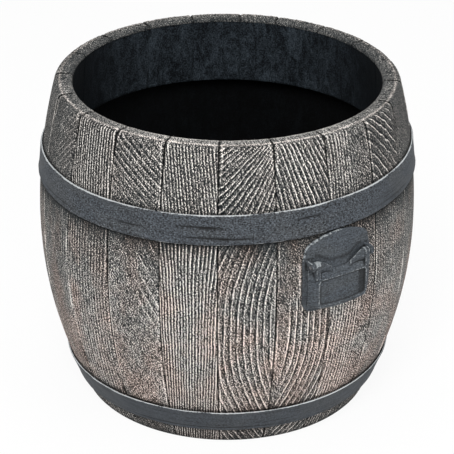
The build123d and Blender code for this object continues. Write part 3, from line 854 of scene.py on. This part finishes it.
def drag_marks(which, turn, share):
    """How deep the drag marks are at a turn from the barrel's front and at a share of a hoop's width."""
    depth = 0.0 * turn
    for low, high, height in DRAG_MARKS if which == "upper" else ():
        along = smoothstep(low - 2, low + 3, turn) * (1 - smoothstep(high - 4, high + 1, turn))
        wander = 0.04 * noise(turn / 5, turn * 0, 870)
        depth = np.maximum(depth, along * np.exp(-(((share - height - wander) / MARK_WIDTH) ** 2)))
    return depth


def hoop_groove(which, arc, turn, share, seed):
    """How deep a hoop's scored line and drag marks are at a share of its width."""
    broken = smoothstep(-0.1, 0.5, noise(arc / 90, arc * 0, seed + 2))
    scored = 0.40 * np.exp(-(((share + 0.64) / 0.05) ** 2)) * broken
    return np.maximum(scored, 0.62 * drag_marks(which, turn, share))


def hoop_outwards(arc, z, share, groove, seed):
    """How far a hoop's outside stands out at a share of its width: flat, with a bead along each edge."""
    bead = 0.55 * np.exp(-(((abs(share) - 0.86) / 0.09) ** 2))
    dents = 0.30 * (0.5 + 0.5 * layered(arc / 16, z / 9, seed + 3))
    dents = dents + 0.2 * (0.5 + 0.5 * noise(arc / 60, z / 30, seed + 4))
    return HOOP_THICKNESS - 0.55 + bead - 0.9 * edge_round(share) - groove - dents


def edge_round(share):
    """0 on the flat of a hoop, rising to 1 at its edges."""
    return np.clip((abs(share) - 0.90) / 0.10, 0, 1) ** 2


def hoop_wear(arc, z, share, seed):
    """How far paint is rubbed off a hoop's outer edges, in patches, finer along the lower edge."""
    if share > 0:
        patchy = 0.9 + 0.4 * layered(arc / 24, z * 0, seed + 5)
    else:
        patchy = 0.5 + 0.5 * smoothstep(-0.4, 0.5, noise(arc / 60, z * 0, seed + 6))
        patchy = patchy * (0.25 + 0.9 * smoothstep(-0.2, 0.5, noise(arc / 3, z * 0, seed + 8)))
    return smoothstep(0.92, 0.98, abs(share)) * 1.5 * patchy


def make_hoop(which):
    """A hoop as one strip whose outer end is drawn over the inner one and riveted."""
    middle, width, _ = HOOPS[which]
    base = float(wall_radius(middle))
    lap = LAP_LENGTH / base
    start = math.radians(LAP_HEADING) - lap / 2
    end = start + 2 * math.pi
    heading = np.linspace(start, end + lap, HOOP_COLUMNS)[None, :]
    lift = hoop_lift(which, heading)
    rise = smoothstep(end - 0.055, end - 0.005, heading) * (HOOP_THICKNESS + 0.08)
    seed = 900 + len(which) + int(middle)
    arc = heading * base
    turn = (np.degrees(heading) - VIEW_HEADING + 180) % 360 - 180
    wander = 0.5 * noise(arc / 120, arc * 0, seed) + 0.25 * noise(arc / 31, arc * 0, seed + 1)
    shares = np.linspace(-1, 1, HOOP_ACROSS).tolist()
    points, wear, dark_wash_and_shade, rough, uv = [], [], [], [], []
    for outer, share in [(True, s) for s in shares] + [(False, s) for s in shares[::-1]]:
        z = middle + lift + share * (width / 2 - 0.15) + wander * (1 if outer else 0.6)
        groove = hoop_groove(which, arc, turn, share, seed)
        outwards = hoop_outwards(arc, z, share, groove, seed) if outer else 0.8 * (0.9 * edge_round(share))
        points.append(turned_points(wall_radius(z, HOOP_CLEARANCE) + outwards + rise, heading, z))
        wear.append((hoop_wear(arc, z, share, seed) * outer + 0 * z).ravel())
        coarse = 0.25 + 0.75 * smoothstep(-0.5, 0.3, noise(arc / 90, z / 40, seed + 7))
        rough.append((coarse * GRITTY[which] + 0 * z).ravel())
        # Darker in the scored line and drag marks, with painted shade on the face that lies against the wood.
        dark_wash_and_shade.append((groove * 1.9 + (not outer) * 0.6 + 0 * z).ravel())
        uv.append(np.stack(np.broadcast_arrays(arc / 10, z / 10), -1).reshape(-1, 2))
    faces = ring_faces(len(points), HOOP_COLUMNS).tolist()
    ends = np.arange(len(points)) * HOOP_COLUMNS
    faces.append(ends[::-1].tolist())
    faces.append((ends + HOOP_COLUMNS - 1).tolist())
    points, wear, dark_wash_and_shade, rough, uv = (np.concatenate(rows) for rows in (points, wear, dark_wash_and_shade, rough, uv))
    values = dict(wear=wear, dark_wash_and_shade=dark_wash_and_shade, rough=rough)
    name = f"{which}_hoop"
    make_piece(f"{name}_forged", points, faces, values, HOOP, "barrel", [name], uv)


for which in HOOPS:
    make_hoop(which)


# ---------------------------------------------------------------- rivets and nuts


class Hardware(Nodes):
    """A geometry tree that sets one piece of hardware on each seat, turned to face away from the wall."""

    def __init__(self, name, sizes):
        super().__init__(bpy.data.node_groups.new(name, "GeometryNodeTree"))
        face = self.tree.interface
        face.new_socket("Seats", in_out="INPUT", socket_type="NodeSocketGeometry")
        for size in sizes:
            face.new_socket(size, in_out="INPUT", socket_type="NodeSocketFloat")
        face.new_socket("Finish", in_out="INPUT", socket_type="NodeSocketMaterial")
        face.new_socket("Hardware", in_out="OUTPUT", socket_type="NodeSocketGeometry")
        self.given = self.node("NodeGroupInput", {}, {}).outputs
        self.sizes = {size: Value(self, self.given[size]) for size in sizes}

    def rod(self, sides):
        """A cylinder or prism of unit radius and length."""
        made = self.node("GeometryNodeMeshCylinder", {}, {**sides, "Radius": 1.0, "Depth": 1.0})
        return made.outputs["Mesh"]

    def shaped(self, mesh, form):
        """A mesh whose points are moved by a form: a function from x, y and z to a new x, y and z."""
        place = self.node("GeometryNodeInputPosition", {}, {}).outputs[0]
        parts = self.node("ShaderNodeSeparateXYZ", {}, {0: place}).outputs
        formed = form(*(Value(self, part) for part in parts))
        moved = self.node("ShaderNodeCombineXYZ", {}, dict(enumerate(formed))).outputs[0]
        made = self.node("GeometryNodeSetPosition", {}, {"Geometry": mesh, "Position": moved})
        return made.outputs["Geometry"]

    def set_on_seats(self, shape):
        """Ends the tree: the shape on every seat, as plain mesh with its finish."""
        kind = {"data_type": "FLOAT_VECTOR"}
        outward = self.node("GeometryNodeInputNamedAttribute", kind, {"Name": "outward"}).outputs["Attribute"]
        turn = self.node("FunctionNodeAlignRotationToVector", {"axis": "Z"}, {"Vector": outward}).outputs[0]
        seating = {"Points": self.given["Seats"], "Instance": shape, "Rotation": turn}
        seated = self.node("GeometryNodeInstanceOnPoints", {}, seating).outputs[0]
        plain = self.node("GeometryNodeRealizeInstances", {}, {"Geometry": seated}).outputs[0]
        coating = {"Geometry": plain, "Material": self.given["Finish"]}
        finished = self.node("GeometryNodeSetMaterial", {}, coating).outputs[0]
        self.node("NodeGroupOutput", {}, {"Hardware": finished})


def rivet_tree():
    """A shank under a domed head."""
    tree = Hardware("domed_rivets", ("Head radius", "Head height", "Shank radius", "Shank length"))
    radius, height, shank, length = tree.sizes.values()
    ball = tree.node("GeometryNodeMeshUVSphere", {}, {"Segments": 28, "Rings": 16, "Radius": 1.0})
    place = tree.node("GeometryNodeInputPosition", {}, {}).outputs[0]
    crown = Value(tree, tree.node("ShaderNodeSeparateXYZ", {}, {0: place}).outputs[2])
    wear = {"Geometry": ball.outputs["Mesh"], "Name": "wear", "Value": crown.step(0.5, 1.0) * 0.7}
    worn = tree.node("GeometryNodeStoreNamedAttribute", {}, wear).outputs[0]
    head = tree.shaped(worn, lambda x, y, z: (x * radius, y * radius, z.math("MAXIMUM", 0.0) * height))
    rod = tree.rod({"Vertices": 28})
    rod = tree.shaped(rod, lambda x, y, z: (x * shank, y * shank, (z - 0.5) * length))
    both = tree.node("GeometryNodeJoinGeometry", {}, {})
    for part in (rod, head):
        tree.tree.links.new(part, both.inputs[0])
    tree.set_on_seats(both.outputs[0])
    return tree


def nut_tree():
    """A hexagon nut whose corners are eased at both ends."""
    tree = Hardware("hex_nuts", ("Across flats", "Height"))
    flats, height = tree.sizes.values()

    def eased(x, y, z):
        corner = flats / math.sqrt(3) * (1 - z.math("ABSOLUTE").step(0.30, 0.52) * 0.12)
        return x * corner, y * corner, (z + 0.5) * height

    tree.set_on_seats(tree.shaped(tree.rod({"Vertices": 6, "Side Segments": 8}), eased))
    return tree


def wall_seat(heading, z, offset, inwards=False):
    """A seat at an offset from the outer surface, and the direction away from the wood there."""
    bend = UPPER_BEND if z > BELLY_HEIGHT else LOWER_BEND
    tilt = math.asin((z - BELLY_HEIGHT) / bend)
    reach = float(wall_radius(z)) + offset * math.cos(tilt)
    spot = (reach * math.cos(heading), reach * math.sin(heading), z + offset * math.sin(tilt))
    away = Vector((math.cos(heading) * math.cos(tilt), math.sin(heading) * math.cos(tilt), math.sin(tilt)))
    return spot, -away if inwards else away


def set_hardware(name, tree, sizes, seats, finish, smooth, replaced):
    """Runs a hardware tree over its seats and keeps the result as one plain mesh."""
    mesh = bpy.data.meshes.new(f"{name}_seats")
    mesh.from_pydata([tuple(Vector(spot) * MM) for spot, _ in seats], [], [])
    outward = mesh.attributes.new("outward", "FLOAT_VECTOR", "POINT")
    outward.data.foreach_set("vector", np.array([away for _, away in seats], np.float32).ravel())
    holder = placed(f"{name}_seats", mesh)
    modifier = holder.modifiers.new("hardware", "NODES")
    modifier.node_group = tree.tree
    inputs = [item for item in tree.tree.interface.items_tree if item.in_out == "INPUT"]
    sockets = {item.name: item.identifier for item in inputs}
    for size, value in sizes.items():
        modifier[sockets[size]] = value * MM
    modifier[sockets["Finish"]] = finish
    plain = settled_mesh(holder, name)
    plain.polygons.foreach_set("use_smooth", np.full(len(plain.polygons), smooth))
    finish_piece(name, plain, {}, finish, "barrel", [replaced])


RIVET = {"Head radius": 5.5, "Head height": 3.2, "Shank radius": 3.0, "Shank length": 4.6}
RIVET_SPACING = 22.0
RIVET_SEAT = 4.5  # from the wall to the outside of a lap
rivets = rivet_tree()
for which, (middle, *_) in HOOPS.items():
    seats = []
    for side in (-1, 1):
        heading = math.radians(LAP_HEADING) + side * RIVET_SPACING / 2 / float(wall_radius(middle))
        low, high = hoop_edges(which, heading)
        seats.append(wall_seat(heading, float(low + high) / 2, RIVET_SEAT))
    hoop = f"{which}_hoop"
    set_hardware(f"{hoop}_domed_rivets", rivets, RIVET, seats, HOOP, True, f"{hoop}_rivets")

NUT = {"Across flats": 10.0, "Height": 5.0}
BOLT_HEIGHT = 212.0
BOLT_ASIDE = 24.0  # from a handle's middle
BOLT_TURN = math.asin(BOLT_ASIDE / BELLY_RADIUS)
NUT_SEAT = -WALL - 1.9  # inside the wall, on the washer
seats = []
for turn in (0, math.pi):
    for side in (-1, 1):
        seats.append(wall_seat(turn + side * BOLT_TURN, BOLT_HEIGHT, NUT_SEAT, inwards=True))
set_hardware("handle_hex_nuts", nut_tree(), NUT, seats, ZINC, False, "handle_nuts")


# ---------------------------------------------------------------- handles


HORN_START, HORN_END = 12.0, 30.6  # from a handle's middle to a horn's tip, and to its end inside the knuckle
HORN_TIP = 0.9  # the radius of a horn at its tip
KNUCKLE_RADIUS = 4.7
HORN_DROP = 4.2  # how far a horn's tip lies below the hinge axis
WEB = 5.5  # how far a horn reaches down into the bail
SAG = 3.4  # of a bail's top between its horns
PANEL_BOTTOM, PANEL_TOP = 199, 229  # heights of the sunk panel on a bail's front
SKIN_DEPTH = 0.18  # how far a casting's skin lies inside its drawing
MM_PER_DEGREE = 3.8  # round the barrel, at a handle


def add_horns(shape, hinge):
    """Adds to a bail the two horns that swell from its top edge, round the hinge axis, into its knuckles."""
    turns = np.linspace(0, 2 * np.pi, 24, endpoint=False)
    for side in (-1, 1):
        rings = []
        for share in np.linspace(0, 1, 9):
            radius = HORN_TIP + (KNUCKLE_RADIUS - HORN_TIP) * share**1.6
            lift = -HORN_DROP * (1 - share) ** 1.5
            across = side * (HORN_START + (HORN_END - HORN_START) * share)
            ring = []
            for t in turns:
                depth = radius * math.sin(t) + WEB * min(math.sin(t), 0) + lift
                spot = (hinge[0] + radius * 0.85 * math.cos(t), across, hinge[2] + depth)
                ring.append(shape.verts.new(Vector(spot) * MM))
            rings.append(ring)
        for near, far in zip(rings, rings[1:]):
            for i in range(len(turns)):
                j = (i + 1) % len(turns)
                corners = (near[i], near[j], far[j], far[i])
                shape.faces.new(corners if side > 0 else corners[::-1])
        shape.faces.new(rings[0][::-1] if side > 0 else rings[0])
        shape.faces.new(rings[-1] if side > 0 else rings[-1][::-1])


def softened(node, name, voxel, rounds, hinge):
    """A copy of a drawn casting with its sharp corners rounded off and, on a bail, its horns grown in."""
    mesh = frame["nodes"][node].data.copy()
    shape = bmesh.new()
    shape.from_mesh(mesh)
    bmesh.ops.remove_doubles(shape, verts=shape.verts, dist=1e-6)
    if hinge is not None:
        add_horns(shape, hinge)
        bmesh.ops.recalc_face_normals(shape, faces=shape.faces)
    shape.to_mesh(mesh)
    shape.free()
    blank = placed(f"{name}_blank", mesh)
    remesh = blank.modifiers.new("remesh", "REMESH")
    remesh.mode, remesh.voxel_size = "VOXEL", voxel * MM
    smooth = blank.modifiers.new("smooth", "SMOOTH")
    smooth.factor, smooth.iterations = 0.5, rounds
    return settled_mesh(blank, name)


def read_rows(items, key, width, kind=float):
    """One property of a mesh's points, edges or normals, a row for each."""
    values = np.empty(len(items) * width, kind)
    items.foreach_get(key, values)
    return values.reshape(-1, width)


def gathered(values, pairs):
    """The mean of the values at each point's neighbours."""
    total, near = np.zeros_like(values), np.zeros(len(values))
    for a, b in ((0, 1), (1, 0)):
        np.add.at(total, pairs[:, a], values[pairs[:, b]])
        np.add.at(near, pairs[:, a], 1)
    return total / near.reshape(-1, *[1] * (values.ndim - 1))


def worn_plate(at, wear, dark_wash_and_shade):
    """Paint is knocked off one side of the arch, and painted shade darkens the plate beside the bail and in a line
    just above it.
    """
    knocked = smoothstep(8, -10, at.across) * smoothstep(250, 258, at.height)
    knocked = knocked * smoothstep(-0.1, 0.5, layered(at.across / 1.5, at.height / 1.5, at.seed + 2))
    # Painted shade, in blotches, on the plate's margin beside the bail.
    shaded_margin = smoothstep(-37, -41, at.across) * smoothstep(256, 246, at.height)
    blotches = 0.6 + 0.8 * noise(at.across / 2, at.height / 7, at.seed + 3)
    dark_wash_and_shade = np.clip(dark_wash_and_shade + 0.5 * shaded_margin * blotches, 0, 1)
    # A painted shadow line on the plate just above the bail.
    above_bail = 246.5 + 9 * smoothstep(9, 30, np.abs(at.across))
    painted_shadow = np.exp(-(((at.height - above_bail) / 2.2) ** 2)) * (np.abs(at.across) < 31)
    return np.clip(wear * (0.5 + 3.5 * knocked), 0, 1.3), np.clip(dark_wash_and_shade + 0.75 * painted_shadow, 0, 1)


def worn_bail(at, wear, dark_wash_and_shade):
    """Paint is rubbed off the ears, the saddle's upper edge is paler with rubbed paint and painted highlight, and
    the front's panel has painted shade, most along one side.
    """
    ear = smoothstep(26, 30, np.abs(at.across)) * smoothstep(246, 250, at.height)
    wear = np.clip(wear * (1 + ear * np.where(at.across < 0, 2.6, 0.5)), 0, 1.3)
    front = smoothstep(0.0, 0.5, at.facing)
    # Painted shade in the sunk panel, deepest towards its one end.
    panel = front * (at.reach < at.axis + 4.3) * (at.height < PANEL_TOP) * (at.height > PANEL_BOTTOM)
    beside = 0.75 * smoothstep(20, 24, at.across) * (at.across < 30.4)
    # A pale band along the saddle's upper edge: rubbed paint with painted highlight.
    saddle = smoothstep(240, 242, at.height) * (np.abs(at.across) < 27) * (at.reach < at.axis)
    return np.clip(wear + 0.45 * saddle, 0, 1.2), np.clip(dark_wash_and_shade + panel * (0.08 + beside), 0, 1)


def make_casting(node, voxel, rounds, body, hinge=None):
    """A casting with softened corners and a slightly uneven skin, in place of its drawing."""
    name = f"{node}_cast"
    cast = softened(node, name, voxel, rounds, hinge)
    spots = read_rows(cast.vertices, "co", 3) / MM
    normals = read_rows(cast.vertex_normals, "vector", 3)
    pairs = read_rows(cast.edges, "vertices", 2, np.int32)
    out = 1 if spots[:, 0].mean() > 0 else -1
    if hinge is not None:
        middle = 1 - smoothstep(4, 26, np.abs(spots[:, 1]))
        spots[:, 2] -= SAG * middle * smoothstep(226, 242, spots[:, 2])
    bulge = ((spots - gathered(spots, pairs)) * normals).sum(1) / voxel
    for _ in range(3):
        bulge = 0.5 * bulge + 0.5 * gathered(bulge, pairs)
    seed = 400 + len(name)
    around, height = np.degrees(np.arctan2(spots[:, 1], spots[:, 0])) * MM_PER_DEGREE, spots[:, 2]
    skin = 0.16 * layered(around / 6, height / 6, seed) + 0.07 * layered(around / 2, height / 2, seed + 1)
    spots += normals * (skin - SKIN_DEPTH)[:, None]
    cast.vertices.foreach_set("co", (spots * MM).ravel())
    cast.polygons.foreach_set("use_smooth", np.ones(len(cast.polygons), bool))
    at = SimpleNamespace(across=spots[:, 1] * out, height=spots[:, 2], reach=spots[:, 0] * out, seed=seed)
    # Paler where the casting's edges stand out and paint is rubbed, and darker in its hollows: dark wash with
    # painted shade.
    wear, dark_wash_and_shade = np.clip(bulge * 8, 0, 0.85), np.clip(-bulge * 18, 0, 1)
    if hinge is None:
        wear, dark_wash_and_shade = worn_plate(at, wear, dark_wash_and_shade)
    else:
        at.facing, at.axis = normals[:, 0] * out, hinge[0] * out
        wear, dark_wash_and_shade = worn_bail(at, wear, dark_wash_and_shade)
    values = dict(wear=wear, dark_wash_and_shade=dark_wash_and_shade, rough=np.full(len(spots), 0.55))
    uv = np.stack([at.across, at.height], -1) / 10
    finish_piece(name, cast, values, HANDLE, body, [node], uv)


HINGES = {joint["child"]: [value / MM for value in joint["pos_m"]] for joint in frame["joints"]}
for side in ("right", "left"):
    make_casting(f"handle_plate_{side}", 0.8, 5, "barrel")
    make_casting(f"handle_bail_{side}", 0.7, 7, f"bail_{side}", HINGES[f"bail_{side}"])


# ---------------------------------------------------------------- the drawing's own solids

FINISHES = {"head_wood": HEAD, "hoop_iron": HOOP, "handle_iron": HANDLE, "steel": ZINC, "stave_wood": STAVE}
for entry in frame["record"]["subparts"]:
    solid = frame["nodes"][entry["node"]]
    solid.data.materials.clear()
    solid.data.materials.append(FINISHES[entry["material_slot"]])


# ---------------------------------------------------------------- camera, floor and light


def around_barrel(turn, distance, height):
    """A point in metres, by its turn in degrees to the right of the side that the camera looks at."""
    heading = math.radians(VIEW_HEADING + turn)
    return Vector((distance * math.cos(heading), distance * math.sin(heading), height))


def aimed(place, target, roll=0.0):
    """The placing of a camera or lamp that looks from one point at another."""
    turn = (target - place).to_track_quat("-Z", "Y").to_matrix().to_4x4()
    return Matrix.Translation(place) @ turn @ Matrix.Rotation(roll, 4, "Z")


SENSOR, LENS = 36.0, 160.06  # millimetres
SHIFT = (0.0003, -0.0025)
CAMERA_TILT, CAMERA_ROLL = 0.4728, 0.0042  # radians: above level, and about the line of sight
CAMERA_DISTANCE, CAMERA_AIM = 2.380, 0.190  # metres: from what it is aimed at, and the height of that
LAMP_AIM = 0.25
FLOOR_REACH = 6.0


def make_camera():
    lens = bpy.data.cameras.new("camera")
    lens.sensor_width, lens.lens = SENSOR, LENS
    lens.shift_x, lens.shift_y = SHIFT
    camera = placed("camera", lens)
    height = CAMERA_AIM + CAMERA_DISTANCE * math.sin(CAMERA_TILT)
    place = around_barrel(0, CAMERA_DISTANCE * math.cos(CAMERA_TILT), height)
    camera.matrix_world = aimed(place, Vector((0, 0, CAMERA_AIM)), CAMERA_ROLL)
    bpy.context.scene.camera = camera


def make_lamp(name, turn, distance, height, size, power):
    lamp = bpy.data.lights.new(name, "AREA")
    lamp.shape, lamp.size, lamp.energy = "DISK", size, power
    holder = placed(name, lamp)
    holder.matrix_world = aimed(around_barrel(turn, distance, height), Vector((0, 0, LAMP_AIM)))


def make_floor():
    """A wide pale floor that takes the barrel's shadow, and shows white outside the barrel's foot."""
    corners = [(x * FLOOR_REACH, y * FLOOR_REACH, 0) for x, y in ((-1, -1), (1, -1), (1, 1), (-1, 1))]
    mesh = bpy.data.meshes.new("floor")
    mesh.from_pydata(corners, [], [(0, 1, 2, 3)])
    floor = placed("floor", mesh)
    finish = Finish("pale_floor")
    finish.set(Base_Color=(0.90, 0.90, 0.90, 1), Roughness=0.9, Specular_IOR_Level=0.1)
    glow = finish.node("ShaderNodeEmission", {}, {"Color": (1, 1, 1, 1), "Strength": 1.0})
    parts = finish.node("ShaderNodeSeparateXYZ", {}, {0: finish.object}).outputs
    across, along = Value(finish, parts[0]), Value(finish, parts[1])
    from_axis = (across * across + along * along) ** 0.5
    open_floor = from_axis.step((FOOT_INNER_RADIUS - 4) * MM, FOOT_INNER_RADIUS * MM)
    shown = finish.white_for_view(0.0) * open_floor * 0.92
    layers = {0: shown, 1: finish.surface.outputs[0], 2: glow.outputs[0]}
    mixed = finish.node("ShaderNodeMixShader", {}, layers)
    finish.tree.links.new(mixed.outputs[0], finish.tree.nodes["Material Output"].inputs["Surface"])
    mesh.materials.append(finish.material)


def make_world():
    """An even studio dome that the camera and reflections see as white."""
    world = bpy.data.worlds.new("studio")
    bpy.context.scene.world = world
    world.use_nodes = True
    studio = Nodes(world.node_tree)
    dome = {"Color": (1, 1, 1, 1), "Strength": studio.white_for_view(0.30)}
    studio.feed(world.node_tree.nodes["Background"], dome)


make_camera()
make_floor()
make_world()
make_lamp("key_lamp", -10, 2.4, 2.8, 1.4, 88)
make_lamp("fill_lamp", 55, 2.8, 1.4, 2.0, 30)
make_lamp("left_lamp", -70, 2.8, 1.6, 2.0, 15)
make_lamp("top_lamp", 170, 0.8, 2.8, 1.6, 18)
bpy.context.scene.view_settings.view_transform = "Standard"
